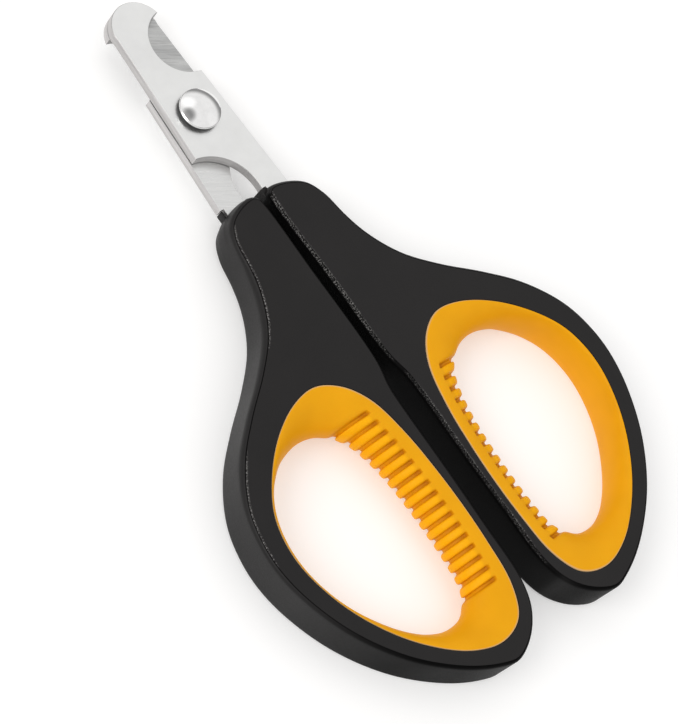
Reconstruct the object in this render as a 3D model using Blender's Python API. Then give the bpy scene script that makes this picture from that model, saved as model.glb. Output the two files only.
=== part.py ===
"""Scissor-type pet nail clipper.

Two identical stamped blades turn against each other on a two-piece domed rivet. Each blade has a
flat tang held in a moulded ring handle, and each finger ring carries a ridged liner. The left
blade, handle and liner are the right ones turned 180 degrees about the long axis.

Frame: the origin is at the centre of the closed tool's box. +Y runs to the blade tips, +X to the
right handle and +Z out of the front face. Shapes are drawn about the rivet axis, in millimetres,
and scaled to metres when a mesh is made.
"""

import math

import bmesh
import bpy
from mathutils import Vector

MM = 0.001
GAP = 0.3                      # clearance between neighbouring pieces
RIVET_Y = 42.245               # rivet axis above the origin
CURVE_STEPS = 16               # curve points per outline point
ROUND_COUNT = 40               # sides of the rivet pieces and their bore
SMOOTH_ANGLE = 30.0            # steeper edges are shaded sharp
GRIP_SMOOTH_ANGLE = 40.0

# Blades
BLADE_T = 1.9
MATE = GAP / 2                 # height of the mating face above the middle plane
FACE = MATE + BLADE_T          # height of the outer face
TIP_CENTRE, TIP_R = (0.0, 17.6), 5.15
HOOK_POINT = (4.88, 18.98)     # between the notch and the rounded tip
NOTCH_CENTRE, NOTCH_R = (6.1, 12.55), 6.3
NOTCH_GRIND = 0.2              # the notch radius is this much less at the mating face
CUTTING_LINE = (5.92, -0.054)  # x at the rivet, and its change per unit of y
SPINE_LINE = (-5.78, 0.044)
CUTTING_TOP_Y = 6.1
SPINE_TOP_Y, SPINE_END_Y = 17.4, -7.2
WAIST_CENTRE, WAIST_R = (-7.18, -15.97), 8.84
SHOULDER_Y = -16.6             # where the tang starts
SHOULDER_X = 1.6               # shoulder's corner below the waist
TANG_X, TANG_HALF = 4.2, 1.8
TANG_TAPER_Y = -30
TANG_END_CENTRE, TANG_END_R = (TANG_X, -42.0), 1.4
TANG_END_COUNT = 9
ANCHORS = ((TANG_X, -25.0), (TANG_X, -36.0))
ANCHOR_R, ANCHOR_COUNT = 1.4, 16

# Rivet
BORE_R = 2.6                   # pivot hole in each blade
PIN_R = 1.5
PIN_REACH = 0.6                # pin's length inside the rear head
PIN_CHAMFER = 0.3
SLEEVE_R, SLEEVE_IN_R = BORE_R - GAP, PIN_R + GAP
HEAD_R, HEAD_RIM, HEAD_TOP = 3.78, 3.4, 4.35
HEAD_BASE = FACE + GAP
RIM_INSET, RIM_DROP = 0.12, 0.1        # bevel between the dome and its rim
DOME_STEPS = 6

# Handles
HALF_T, NOSE_HALF_T = 4.5, 3.7         # half thickness at the ring and at the nose
TAPER_DROP = 0.12                      # half thickness lost between RING_Y and TAPER_Y
NOSE_Y, TAPER_Y, RING_Y = -20.0, -42.0, -54.0
WALL_TURN, WALL_REACH = 11.0, 9.0      # degrees and length between wall points
MIN_CLOSING = 0.4                      # shortest last side of a thinned loop
EDGE_ROUND = 0.9
ROUND_MID = 0.293                      # share of EDGE_ROUND cut at its middle
NOSE_CROWN = 0.6                       # the nose wall bows out by this much at mid height
CROWN_Y, CROWN_RUN, CROWN_MIN_X = -24.0, 5.0, 1.0
POCKET_TOP_Y = -15.0
LIP_TOP_Y = SHOULDER_Y - GAP

# Blocks beside the tang at the nose: name, lowest corner, highest corner
LIPS = (
    ("lip_inner", (1.6, -19.2, -1.0), (2.3, LIP_TOP_Y, FACE)),
    ("lip_outer", (6.1, -20.4, MATE), (6.8, LIP_TOP_Y, FACE)),
)

# Ring liner
KEY_HALF, KEY_DEEP = 1.2, 0.65         # rib in the ring that the liner is keyed on
KEY_MARGIN = 0.01                      # vertices this far beyond the rib follow the taper
GROOVES, GROOVE_PITCH, GROOVE_Y = 17, 2.16, -59.24
GROOVE_DEEP, GROOVE_ANGLE = 0.75, 60   # grooves reach to this angle from mid height
GRIP_ANGLES = (90, 68, 52, 32, 11, -11, -32, -52, -68, -90)

# (x, y) places near the seam and near the opening, where the smooth side is divided
RING_MARKS = (
    ((13.5, -103.1), (17.0, -96.5)),
    ((36.6, -73.5), (35.1, -72.8)),
    ((18.0, -51.0), (20.5, -56.9)),
)
SPAN_COUNTS = (6, 11, 10, 5)           # stations between the grooves' ends and the marks

# (x, y) outline of the right handle, clockwise from the nose
HANDLE = (
    (2.3, -17.6), (5.8, -18.15), (9.05, -19.95), (10.8, -23.1), (11.8, -28.0),
    (13.6, -33.55), (16.8, -39.0), (22.25, -44.3), (28.55, -49.2), (34.5, -54.65),
    (38.8, -61.35), (40.6, -68.15), (40.7, -74.0), (39.2, -80.8), (35.7, -88.8),
    (29.7, -96.9), (22.0, -103.3), (15.9, -106.4), (12.2, -107.2), (7.7, -105.2),
    (4.2, -101.4), (2.5, -96.3), (2.2, -86.0), (2.0, -74.0), (2.0, -60.0),
    (1.8, -57.3), (1.0, -53.8), (0.7, -50.0), (0.7, -35.0), (0.7, -19.3), (1.2, -18.2),
)
# (x, y) border between ring and liner, counter-clockwise from the middle of the ridged side
SEAM = (
    (4.0, -80.0), (4.2, -88.0), (5.1, -96.1), (7.9, -101.4), (13.0, -103.1),
    (19.1, -101.3), (25.6, -96.3), (30.9, -89.8), (34.8, -82.1), (36.7, -73.5),
    (35.6, -66.1), (32.3, -60.7), (26.5, -55.1), (20.0, -51.6), (14.6, -50.9),
    (10.1, -53.3), (6.8, -58.0), (5.0, -65.5), (4.3, -72.5),
)
# (x, y) finger opening at mid height, same direction
OPENING = (
    (10.0, -80.0), (10.2, -87.0), (11.2, -92.6), (14.2, -95.7), (18.4, -96.2),
    (22.7, -94.6), (26.8, -91.4), (30.4, -87.1), (33.3, -82.4), (35.0, -77.6),
    (35.4, -72.5), (34.7, -67.9), (32.9, -63.5), (30.0, -60.6), (26.4, -58.3),
    (21.0, -57.0), (16.3, -58.1), (12.9, -61.3), (11.1, -66.5), (10.2, -73.0),
)

# Looks
STEEL = dict(colour=(0.78, 0.78, 0.78), roughness=0.28, metallic=1.0)
POLISHED = dict(colour=(0.85, 0.85, 0.85), roughness=0.08, metallic=1.0)
BLACK = dict(colour=(0.028, 0.026, 0.026), roughness=0.5, metallic=0.0)
YELLOW = dict(colour=(1.0, 0.46, 0.0), roughness=0.5, metallic=0.0)


# Plane curves

def blend(start, end, knot_a, knot_b, at):
    """Point on the line that passes start at knot_a and end at knot_b."""
    span = knot_b - knot_a
    return start * ((knot_b - at) / span) + end * ((at - knot_a) / span)


def catmull(points):
    """Closed centripetal Catmull-Rom curve through the points."""
    curve = []
    for i in range(len(points)):
        near = [Vector(points[(i + k) % len(points)]) for k in (-1, 0, 1, 2)]
        knots = [0.0]
        for start, end in zip(near, near[1:]):
            knots.append(knots[-1] + math.sqrt((end - start).length))
        for step in range(CURVE_STEPS):
            at = knots[1] + (knots[2] - knots[1]) * step / CURVE_STEPS
            level = near
            for reach in (1, 2):
                level = [
                    blend(level[k], level[k + 1], knots[k], knots[k + reach], at)
                    for k in range(4 - reach)
                ]
            curve.append(blend(level[0], level[1], knots[1], knots[2], at))
    return curve


def thin(loop, turn, reach):
    """Keeps a point each time the curve has turned or run far enough."""
    kept, turned = [loop[0]], 0.0
    for i in range(1, len(loop)):
        before, point, after = loop[i - 1], loop[i], loop[(i + 1) % len(loop)]
        turned += math.degrees((point - before).angle(after - point))
        if turned >= turn or (point - kept[-1]).length >= reach:
            kept.append(point)
            turned = 0.0
    if (kept[-1] - kept[0]).length < MIN_CLOSING:
        kept.pop()
    return kept


def normals(loop):
    """Outward normals of a counter-clockwise loop."""
    result = []
    for i, point in enumerate(loop):
        ahead = (loop[(i + 1) % len(loop)] - point).normalized()
        along = ahead + (point - loop[i - 1]).normalized()
        result.append(Vector((along.y, -along.x)).normalized())
    return result


def grow(loop, distance):
    """Counter-clockwise loop moved outwards."""
    return [point + normal * distance for point, normal in zip(loop, normals(loop))]


def arc(centre, radius, start, end, count):
    """Points on an arc between two angles in degrees, both ends included."""
    points = []
    for k in range(count):
        angle = math.radians(start + (end - start) * k / (count - 1))
        x = centre[0] + radius * math.cos(angle)
        points.append(Vector((x, centre[1] + radius * math.sin(angle))))
    return points


def circle(centre, radius, count):
    return arc(centre, radius, 0, 360, count + 1)[:-1]


def crossing(loop, y):
    """Leftmost point of the loop at height y."""
    hits = []
    for i, start in enumerate(loop):
        end = loop[(i + 1) % len(loop)]
        if (start.y - y) * (end.y - y) <= 0 and start.y != end.y:
            hits.append(start.x + (end.x - start.x) * (y - start.y) / (end.y - start.y))
    return Vector((min(hits), y))


def nearest(loop, place):
    """Index of the loop's point nearest the place."""
    return min(range(len(loop)), key=lambda k: (loop[k] - place).length)


def stretch(loop, start, end, count):
    """Evenly spaced points along the loop between two places, ends left out."""
    first, last = nearest(loop, start), nearest(loop, end)
    size = len(loop)
    path = [loop[(first + k) % size] for k in range((last - first) % size + 1)]
    run = [0.0]
    for here, after in zip(path, path[1:]):
        run.append(run[-1] + (after - here).length)
    points = []
    for i in range(1, count + 1):
        goal = run[-1] * i / (count + 1)
        k = next(m for m in range(1, len(run)) if run[m] >= goal)
        points.append(path[k - 1].lerp(path[k], (goal - run[k - 1]) / (run[k] - run[k - 1])))
    return points


# Meshes, materials and objects

def bridge(bm, upper, lower):
    """Quads between two closed rows of vertices."""
    for i in range(len(upper)):
        j = (i + 1) % len(upper)
        bm.faces.new((upper[i], lower[i], lower[j], upper[j]))


def solid(boundaries):
    """Closed body; each boundary is a list of (loop, z) from top to bottom."""
    bm = bmesh.new()
    caps = ([], [])
    for rings in boundaries:
        rows = [[bm.verts.new((p.x, p.y, z)) for p in loop] for loop, z in rings]
        for upper, lower in zip(rows, rows[1:]):
            bridge(bm, upper, lower)
        for row, cap in zip((rows[0], rows[-1]), caps):
            for i in range(len(row)):
                cap.append(bm.edges.get((row[i], row[(i + 1) % len(row)])))
    for cap in caps:
        bmesh.ops.triangle_fill(bm, use_beauty=True, use_dissolve=False, edges=cap)
    bmesh.ops.recalc_face_normals(bm, faces=bm.faces[:])
    return bm


def straight(loop, top, bottom):
    """Boundary of upright walls."""
    return [(loop, top), (loop, bottom)]


def to_mesh(bm, name, smooth=SMOOTH_ANGLE):
    bmesh.ops.scale(bm, vec=(MM, MM, MM), verts=bm.verts[:])
    mesh = bpy.data.meshes.new(name)
    bm.to_mesh(mesh)
    bm.free()
    mesh.shade_smooth()
    mesh.set_sharp_from_angle(angle=math.radians(smooth))
    return mesh


def material(name, colour, roughness, metallic):
    mat = bpy.data.materials.new(name)
    mat.use_nodes = True
    shader = mat.node_tree.nodes["Principled BSDF"]
    shader.inputs["Base Color"].default_value = (*colour, 1)
    shader.inputs["Roughness"].default_value = roughness
    shader.inputs["Metallic"].default_value = metallic
    mat.diffuse_color = (*colour, 1)
    return mat


def add_object(name, data):
    obj = bpy.data.objects.new(name, data)
    bpy.context.collection.objects.link(obj)
    return obj


def add_pivot(name):
    """Empty on the rivet axis that carries one half of the tool."""
    empty = add_object(name, None)
    empty.location = (0, RIVET_Y * MM, 0)
    return empty


def add_piece(name, mesh, look, parent):
    piece = add_object(name, mesh)
    mesh.materials.clear()     # a copied mesh brings its source's material
    mesh.materials.append(material(name + "_mat", **look))
    piece.parent = parent
    return piece


def add_pair(names, mesh, look, parents):
    """Right piece, and its copy turned about the long axis for the left half."""
    add_piece(names[0], mesh, look, parents[0])
    left = add_piece(names[1], mesh.copy(), look, parents[1])
    left.rotation_euler = (0, math.pi, 0)


# Blades

def on_line(line, y):
    at_rivet, slope = line
    return Vector((at_rivet + slope * y, y))


def blade_outline(grind):
    """Right half's blade from the front, counter-clockwise; grind shrinks the notch."""
    left, right = TANG_X - TANG_HALF, TANG_X + TANG_HALF
    return [
        Vector((right, SHOULDER_Y)),
        on_line(CUTTING_LINE, SHOULDER_Y),
        on_line(CUTTING_LINE, CUTTING_TOP_Y),
        *arc(NOTCH_CENTRE, NOTCH_R - grind, 250, 104, 22),
        Vector(HOOK_POINT),
        *arc(TIP_CENTRE, TIP_R, 19, 172, 20),
        on_line(SPINE_LINE, SPINE_TOP_Y),
        on_line(SPINE_LINE, SPINE_END_Y),
        *arc(WAIST_CENTRE, WAIST_R, 81, -2.5, 12),
        Vector((SHOULDER_X, SHOULDER_Y)),
        Vector((left, SHOULDER_Y)),
        Vector((left, TANG_TAPER_Y)),
        *arc(TANG_END_CENTRE, TANG_END_R, 180, 360, TANG_END_COUNT),
        Vector((right, TANG_TAPER_Y)),
    ]


def blade():
    holes = [circle((0, 0), BORE_R, ROUND_COUNT)]
    holes += [circle(centre, ANCHOR_R, ANCHOR_COUNT) for centre in ANCHORS]
    outer = [(blade_outline(0.0), FACE), (blade_outline(NOTCH_GRIND), MATE)]
    return to_mesh(solid([outer] + [straight(hole, FACE, MATE) for hole in holes]), "blade")


# Rivet

def turned_piece(profile, name):
    """Lathe piece from (radius, z) pairs; the first and last lie on the axis."""
    bm = bmesh.new()
    rows = []
    for radius, z in profile:
        ring = circle((0, 0), radius, ROUND_COUNT) if radius else [Vector((0, 0))]
        rows.append([bm.verts.new((p.x, p.y, z)) for p in ring])
    for upper, lower in zip(rows, rows[1:]):
        if len(upper) > 1 and len(lower) > 1:
            bridge(bm, upper, lower)
            continue
        for i in range(ROUND_COUNT):
            j = (i + 1) % ROUND_COUNT
            if len(upper) == 1:
                bm.faces.new((upper[0], lower[i], lower[j]))
            else:
                bm.faces.new((upper[i], lower[0], upper[j]))
    bmesh.ops.recalc_face_normals(bm, faces=bm.faces[:])
    return to_mesh(bm, name)


def dome():
    """(radius, z) profile of a head from its crown to the base of its rim."""
    rise = HEAD_TOP - HEAD_RIM
    ball = (HEAD_R ** 2 + rise ** 2) / (2 * rise)
    profile = [(0, HEAD_TOP)]
    for k in range(1, DOME_STEPS + 1):
        radius = (HEAD_R - RIM_INSET) * k / DOME_STEPS
        profile.append((radius, HEAD_TOP - (ball - math.sqrt(ball ** 2 - radius ** 2))))
    return profile + [(HEAD_R, HEAD_RIM - RIM_DROP), (HEAD_R, HEAD_BASE)]


def add_rivet(parent):
    """Front head with its pin, and rear head with the sleeve round the pin."""
    pin_end = -HEAD_BASE - PIN_REACH
    socket = pin_end - GAP
    front = dome() + [
        (PIN_R, HEAD_BASE),
        (PIN_R, pin_end + PIN_CHAMFER),
        (PIN_R - PIN_CHAMFER, pin_end),
        (0, pin_end),
    ]
    rear = [(radius, -z) for radius, z in dome()] + [
        (SLEEVE_R, -HEAD_BASE),
        (SLEEVE_R, FACE),
        (SLEEVE_IN_R, FACE),
        (SLEEVE_IN_R, socket),
        (0, socket),
    ]
    for name, profile in (("rivet_head", front), ("rivet_cap", rear)):
        add_piece(name, turned_piece(profile, name), POLISHED, parent)


# Handles and liners

def half_thickness(y):
    """Half thickness of the handle, thinner towards the nose."""
    if y >= NOSE_Y:
        return NOSE_HALF_T
    if y >= TAPER_Y:
        gain = HALF_T - TAPER_DROP - NOSE_HALF_T
        return NOSE_HALF_T + gain * (NOSE_Y - y) / (NOSE_Y - TAPER_Y)
    if y >= RING_Y:
        return HALF_T - TAPER_DROP * (y - RING_Y) / (TAPER_Y - RING_Y)
    return HALF_T


def nose_crown(point):
    """How far the wall bows out at mid height."""
    if point.x <= CROWN_MIN_X:
        return 0.0
    return NOSE_CROWN * max(0.0, min(1.0, (point.y - CROWN_Y) / CROWN_RUN))


def stations():
    """(seam point, opening point, is groove) round the ring, counter-clockwise."""
    seam, opening = catmull(SEAM), catmull(OPENING)
    ring = []
    for k in range(2 * GROOVES - 1):
        y = GROOVE_Y - k * GROOVE_PITCH / 2
        ring.append((crossing(seam, y), crossing(opening, y), k % 2 == 0))
    marks = [(Vector(on_seam), Vector(on_opening)) for on_seam, on_opening in RING_MARKS]
    ends = [ring[-1][:2], *marks, ring[0][:2]]
    for start, end, count in zip(ends, ends[1:], SPAN_COUNTS):
        outer = stretch(seam, start[0], end[0], count) + [seam[nearest(seam, end[0])]]
        inner = stretch(opening, start[1], end[1], count)
        inner.append(opening[nearest(opening, end[1])])
        ring += [(back, front, False) for back, front in zip(outer, inner)]
    return ring[:-1]           # the last station repeats the first


def handle_body():
    wall = thin(list(reversed(catmull(HANDLE))), WALL_TURN, WALL_REACH)
    bowed = [point + normal * nose_crown(point) for point, normal in zip(wall, normals(wall))]
    mid = ROUND_MID * EDGE_ROUND
    upper = [
        (grow(wall, -EDGE_ROUND), HALF_T),
        (grow(wall, -mid), HALF_T - mid),
        (wall, HALF_T - EDGE_ROUND),
    ]
    outer = upper + [(bowed, 0.0)] + [(loop, -z) for loop, z in reversed(upper)]
    border = [back for back, _, _ in stations()]
    seam, rib = grow(border, GAP / 2), grow(border, -KEY_DEEP)
    hole = straight(seam, HALF_T, KEY_HALF) + straight(rib, KEY_HALF, -KEY_HALF)
    hole += straight(seam, -KEY_HALF, -HALF_T)
    bm = solid([outer, hole])

    # Cut where the taper changes, then thin the body above and below the rib
    for y in (NOSE_Y, TAPER_Y, RING_Y):
        geometry = bm.verts[:] + bm.edges[:] + bm.faces[:]
        bmesh.ops.bisect_plane(
            bm, geom=geometry, dist=1e-5, plane_co=(0, y, 0), plane_no=(0, 1, 0)
        )
    for vert in bm.verts:
        if abs(vert.co.z) > KEY_HALF + KEY_MARGIN:
            vert.co.z *= half_thickness(vert.co.y) / HALF_T
    bmesh.ops.triangulate(bm, faces=[face for face in bm.faces if len(face.verts) > 4])
    return to_mesh(bm, "handle_body")


def tang_pocket():
    """The tang grown by the gap, with posts left standing through its anchor holes."""
    left, right = TANG_X - (TANG_HALF + GAP), TANG_X + (TANG_HALF + GAP)
    loop = arc(TANG_END_CENTRE, TANG_END_R + GAP, 180, 360, TANG_END_COUNT)
    loop += [
        Vector((right, TANG_TAPER_Y)),
        Vector((right, POCKET_TOP_Y)),
        Vector((left, POCKET_TOP_Y)),
        Vector((left, TANG_TAPER_Y)),
    ]
    posts = [circle(centre, ANCHOR_R - GAP, ANCHOR_COUNT) for centre in ANCHORS]
    walls = [straight(outline, FACE + GAP, MATE - GAP) for outline in [loop] + posts]
    return to_mesh(solid(walls), "tang_pocket")


def box(name, low, high):
    corners = ((low[0], low[1]), (high[0], low[1]), (high[0], high[1]), (low[0], high[1]))
    loop = [Vector(corner) for corner in corners]
    return to_mesh(solid([straight(loop, high[2], low[2])]), name)


def handle():
    """Handle body with the lips joined on and the tang's pocket cut out."""
    raw = add_object("handle_raw", handle_body())
    cutters = [(add_object(name, box(name, low, high)), "UNION") for name, low, high in LIPS]
    cutters.append((add_object("pocket", tang_pocket()), "DIFFERENCE"))
    for tool, operation in cutters:
        modifier = raw.modifiers.new(operation.lower() + "_" + tool.name, "BOOLEAN")
        modifier.operation = operation
        modifier.object = tool
        modifier.solver = "EXACT"
    bpy.context.view_layer.update()
    evaluated = raw.evaluated_get(bpy.context.evaluated_depsgraph_get())
    mesh = bpy.data.meshes.new_from_object(evaluated)
    for obj in [raw] + [tool for tool, _ in cutters]:
        bpy.data.objects.remove(obj, do_unlink=True)
    return mesh


def grip():
    """Liner swept round the ring: keyed flat back, half-elliptic front, grooved ridged side."""
    ring = stations()
    seam = [back for back, _, _ in ring]
    backs, keys = grow(seam, -GAP / 2), grow(seam, -(KEY_DEEP + GAP))
    half = KEY_HALF + GAP
    bm = bmesh.new()
    rows = []
    for (_, front, groove), back, key in zip(ring, backs, keys):
        thickness, depth = half_thickness(back.y), (front - back).length
        row = []
        for angle in GRIP_ANGLES:
            across, up = math.cos(math.radians(angle)), math.sin(math.radians(angle))
            cut = GROOVE_DEEP if groove and abs(angle) < GROOVE_ANGLE else 0.0
            point = back.lerp(front, across * (1 - cut / depth))
            row.append((point.x, point.y, up * (thickness - cut)))
        for point, z in ((back, -half), (key, -half), (key, half), (back, half)):
            row.append((point.x, point.y, z))
        rows.append([bm.verts.new(place) for place in row])
    for here, after in zip(rows, rows[1:] + rows[:1]):
        for i in range(len(here)):
            j = (i + 1) % len(here)
            bm.faces.new((here[i], here[j], after[j], after[i]))
    bmesh.ops.recalc_face_normals(bm, faces=bm.faces[:])
    bmesh.ops.triangulate(bm, faces=bm.faces[:])
    return to_mesh(bm, "grip", GRIP_SMOOTH_ANGLE)


def main():
    for obj in list(bpy.data.objects):
        bpy.data.objects.remove(obj, do_unlink=True)

    left = add_pivot("left_half")
    right = add_pivot("opening_pivot")     # turn about Z to open the tool
    halves = (right, left)
    add_pair(("front_blade", "rear_blade"), blade(), STEEL, halves)
    add_rivet(left)
    add_pair(("right_handle", "left_handle"), handle(), BLACK, halves)
    add_pair(("right_grip", "left_grip"), grip(), YELLOW, halves)


main()
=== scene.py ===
"""Looks of a scissor-type pet nail clipper.

It lies flat: the rivet's axis is along Z, the blade tips point to +Y and the handle rings to -Y.
Pieces are built in millimetres about the rivet axis, with the blades meeting at z = 0, and then
moved to the frame's rivet in metres. The right half has its ring at +X and its blade above z = 0.
The left half is built the same way, with its own blade shoulders, and turned 180 degrees about Y.
"""

import math
from functools import cache

import bmesh
import bpy
from mathutils import Matrix, Vector

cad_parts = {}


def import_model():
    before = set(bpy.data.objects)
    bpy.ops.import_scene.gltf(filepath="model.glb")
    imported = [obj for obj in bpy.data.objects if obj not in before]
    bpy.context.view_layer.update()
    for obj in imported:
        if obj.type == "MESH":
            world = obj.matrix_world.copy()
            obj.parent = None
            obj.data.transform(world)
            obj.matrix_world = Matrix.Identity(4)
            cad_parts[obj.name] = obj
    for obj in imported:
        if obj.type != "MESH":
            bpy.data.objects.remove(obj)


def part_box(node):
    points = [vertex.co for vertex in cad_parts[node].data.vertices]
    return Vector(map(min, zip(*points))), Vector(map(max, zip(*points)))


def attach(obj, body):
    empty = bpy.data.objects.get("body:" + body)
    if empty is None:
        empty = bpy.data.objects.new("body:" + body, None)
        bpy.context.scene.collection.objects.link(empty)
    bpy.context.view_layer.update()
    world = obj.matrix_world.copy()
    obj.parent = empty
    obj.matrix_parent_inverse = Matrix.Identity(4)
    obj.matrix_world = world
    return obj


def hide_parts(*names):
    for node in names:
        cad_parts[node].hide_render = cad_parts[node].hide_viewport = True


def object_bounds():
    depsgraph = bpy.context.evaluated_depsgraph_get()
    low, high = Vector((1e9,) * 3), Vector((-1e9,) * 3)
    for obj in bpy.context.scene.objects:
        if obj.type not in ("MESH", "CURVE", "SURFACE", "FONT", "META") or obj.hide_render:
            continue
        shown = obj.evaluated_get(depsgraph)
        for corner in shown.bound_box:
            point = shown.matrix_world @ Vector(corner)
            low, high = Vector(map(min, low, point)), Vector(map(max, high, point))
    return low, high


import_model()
CAD_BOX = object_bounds()

MM = 0.001
RIVET = (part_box("rivet_head")[0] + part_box("rivet_head")[1]) / 2
RIVET.z = 0.0

# ---------------------------------------------------------------- dimensions, mm about the rivet

# Blade: MATE and FACE are the heights of its mating and outer faces
BLADE_T = 1.9
MATE = 0.06
FACE = MATE + BLADE_T
BLADE_BREAK = 0.1                       # width of the broken edges
TIP_C, TIP_R = (0.0, 17.6), 5.15
NOTCH_C, NOTCH_R = (6.1, 12.55), 6.3
EDGE_X, EDGE_SLOPE = 5.92, -0.054       # side at +X: x at y = 0, and x per y
SPINE_X, SPINE_SLOPE = -5.78, 0.044     # side at -X, likewise
EDGE_TOP_Y = 6.1
SPINE_TOP_Y, SPINE_END_Y = 17.4, -7.2
WAIST_C, WAIST_R = (-7.18, -15.97), 8.84
SHOULDERS = {"right": (-17.1, -18.2), "left": (-17.2, -16.6)}   # y of inner and outer shoulder
TANG_X, TANG_HALF, TANG_HALF_END = 4.2, 1.8, 1.4
TANG_NARROW_Y, TANG_END_Y = -30, -42.0
ANCHORS = ((TANG_X, -25.0), (TANG_X, -36.0))                    # holes through the tang
ANCHOR_R, ANCHOR_COUNT = 1.4, 32
POCKET_TOP_Y, POCKET_GAP = -15.0, 0.02  # pocket of the tang in the handle

# Rivet
BORE_R, SLEEVE_R, SLEEVE_IN, PIN_R = 2.6, 2.55, 1.8, 1.5
HEAD_R, HEAD_RIM, HEAD_TOP = 3.84, 3.28, 4.35
HEAD_SHOULDER = 0.28
PIN_END = -(FACE + 0.3) - 0.6
SOCKET_END = PIN_END - 0.05

# Handle
HALF_T, NOSE_HALF_T = 4.5, 3.7          # half thickness at the ring and at the nose by the blade
RING_DROP = 0.12                        # how much thinner it is at TAPER_Y than at the ring
NOSE_Y, TAPER_Y, RING_Y = -20.0, -42.0, -54.0
NOSE_CROWN = 0.6
WALL_INSET = 0.16
CREASE = 24.0                           # slope, degrees, where the shoulder meets the flat face
SIDE_STEPS = 6

# Seam between handle and ring liner, with the liner's key in the handle
KEY_HALF, KEY_DEEP = 1.2, 0.65
SEAM_GAP = 0.05
HOLE_BREAK, LINER_BREAK = 0.14, 0.2

# Grooves across the inner side of the liner
GROOVES, GROOVE_PITCH, GROOVE_Y = 17, 2.16, -59.24
GROOVE_DEEP, RIB_HALF, GROOVE_START = 0.75, 0.77, 2.35
COARSE, FINE = 6, 20                    # stations per pitch on the handle and on the liner

# Outlines of the right half, (x, y): handle clockwise, seam and finger opening counter-clockwise
HANDLE = (
    (2.3, -17.6), (5.8, -18.15), (9.05, -19.95), (10.8, -23.1), (11.8, -28.0), (13.6, -33.55),
    (16.8, -39.0), (22.25, -44.3), (28.55, -49.2), (34.5, -54.65), (38.8, -61.35), (40.6, -68.15),
    (40.7, -74.0), (39.2, -80.8), (35.7, -88.8), (29.7, -96.9), (22.0, -103.3), (15.9, -106.4),
    (12.2, -107.2), (7.7, -105.2), (4.2, -101.4), (2.5, -96.3), (2.2, -86.0), (2.0, -74.0),
    (2.0, -60.0), (1.8, -57.3), (1.0, -53.8), (0.7, -50.0), (0.7, -35.0), (0.7, -19.3),
    (1.2, -18.2),
)
SEAM = (
    (4.0, -80.0), (4.2, -88.0), (5.1, -96.1), (7.9, -101.4), (13.0, -103.1), (19.1, -101.3),
    (25.6, -96.3), (30.9, -89.8), (34.8, -82.1), (36.7, -73.5), (35.6, -66.1), (32.3, -60.7),
    (26.5, -55.1), (20.0, -51.6), (14.6, -50.9), (10.1, -53.3), (6.8, -58.0), (5.0, -65.5),
    (4.3, -72.5),
)
OPENING = (
    (10.0, -80.0), (10.2, -87.0), (11.2, -92.6), (14.2, -95.7), (18.4, -96.2), (22.7, -94.6),
    (26.8, -91.4), (30.4, -87.1), (33.3, -82.4), (35.0, -77.6), (35.4, -72.5), (34.7, -67.9),
    (32.9, -63.5), (30.0, -60.6), (26.4, -58.3), (21.0, -57.0), (16.3, -58.1), (12.9, -61.3),
    (11.1, -66.5), (10.2, -73.0),
)
# Matching points near the seam and near the opening, round the ungrooved part of the ring
PAIR_ANCHORS = (
    ((13.5, -103.1), (17.0, -96.5)),
    ((36.6, -73.5), (35.1, -72.8)),
    ((18.0, -51.0), (20.5, -56.9)),
)
PAIR_COUNTS = (28, 46, 44, 26)          # stations between them


# ---------------------------------------------------------------- curves

def catmull(points, steps):
    """Closed centripetal Catmull-Rom curve through the points."""
    out = []
    n = len(points)
    for i in range(n):
        p = [Vector(points[(i + k) % n]) for k in (-1, 0, 1, 2)]
        t = [0.0]
        for a, b in zip(p, p[1:]):
            t.append(t[-1] + math.sqrt((b - a).length))

        def between(start, end, k, m):
            """Value at u on the line from start at knot k to end at knot m."""
            return start * ((t[m] - u) / (t[m] - t[k])) + end * ((u - t[k]) / (t[m] - t[k]))

        for s in range(steps):
            u = t[1] + (t[2] - t[1]) * s / steps
            first = [between(p[k], p[k + 1], k, k + 1) for k in range(3)]
            second = [between(first[k], first[k + 1], k, k + 2) for k in range(2)]
            out.append(between(second[0], second[1], 1, 2))
    return out


def relax(loop, rounds):
    """Evens out small kinks of a closed loop."""
    for _ in range(rounds):
        n = len(loop)
        loop = [loop[i] * 0.5 + (loop[i - 1] + loop[(i + 1) % n]) * 0.25 for i in range(n)]
    return loop


def thin(loop, turn, reach):
    """Keeps a point each time the curve has turned (degrees) or run far enough."""
    keep, turned, last = [loop[0]], 0.0, loop[0]
    for i in range(1, len(loop)):
        before, here, after = loop[i - 1], loop[i], loop[(i + 1) % len(loop)]
        turned += math.degrees((here - before).angle(after - here))
        if turned >= turn or (here - last).length >= reach:
            keep.append(here)
            turned, last = 0.0, here
    if (keep[-1] - keep[0]).length < 0.15:
        keep.pop()
    return keep


def normals(loop):
    """Outward normals of a counter-clockwise loop."""
    n = len(loop)
    out = []
    for i in range(n):
        d = (loop[(i + 1) % n] - loop[i]).normalized() + (loop[i] - loop[i - 1]).normalized()
        out.append(Vector((d.y, -d.x)).normalized())
    return out


def grow(loop, by):
    """Loop moved outwards; by is a number or a list with one number per point."""
    by = by if isinstance(by, list) else [by] * len(loop)
    return [p + m * d for p, m, d in zip(loop, normals(loop), by)]


def arc(centre, radius, start, end, count):
    """Points from start to end, degrees, both included."""
    angles = [math.radians(start + (end - start) * k / (count - 1)) for k in range(count)]
    x, y = centre
    return [Vector((x + radius * math.cos(a), y + radius * math.sin(a))) for a in angles]


def circle(centre, radius, count):
    return arc(centre, radius, 0, 360, count + 1)[:-1]


def smooth(start, end, x):
    """Eased step from 0 at start to 1 at end."""
    t = max(0.0, min(1.0, (x - start) / (end - start)))
    return t * t * (3 - 2 * t)


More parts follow.
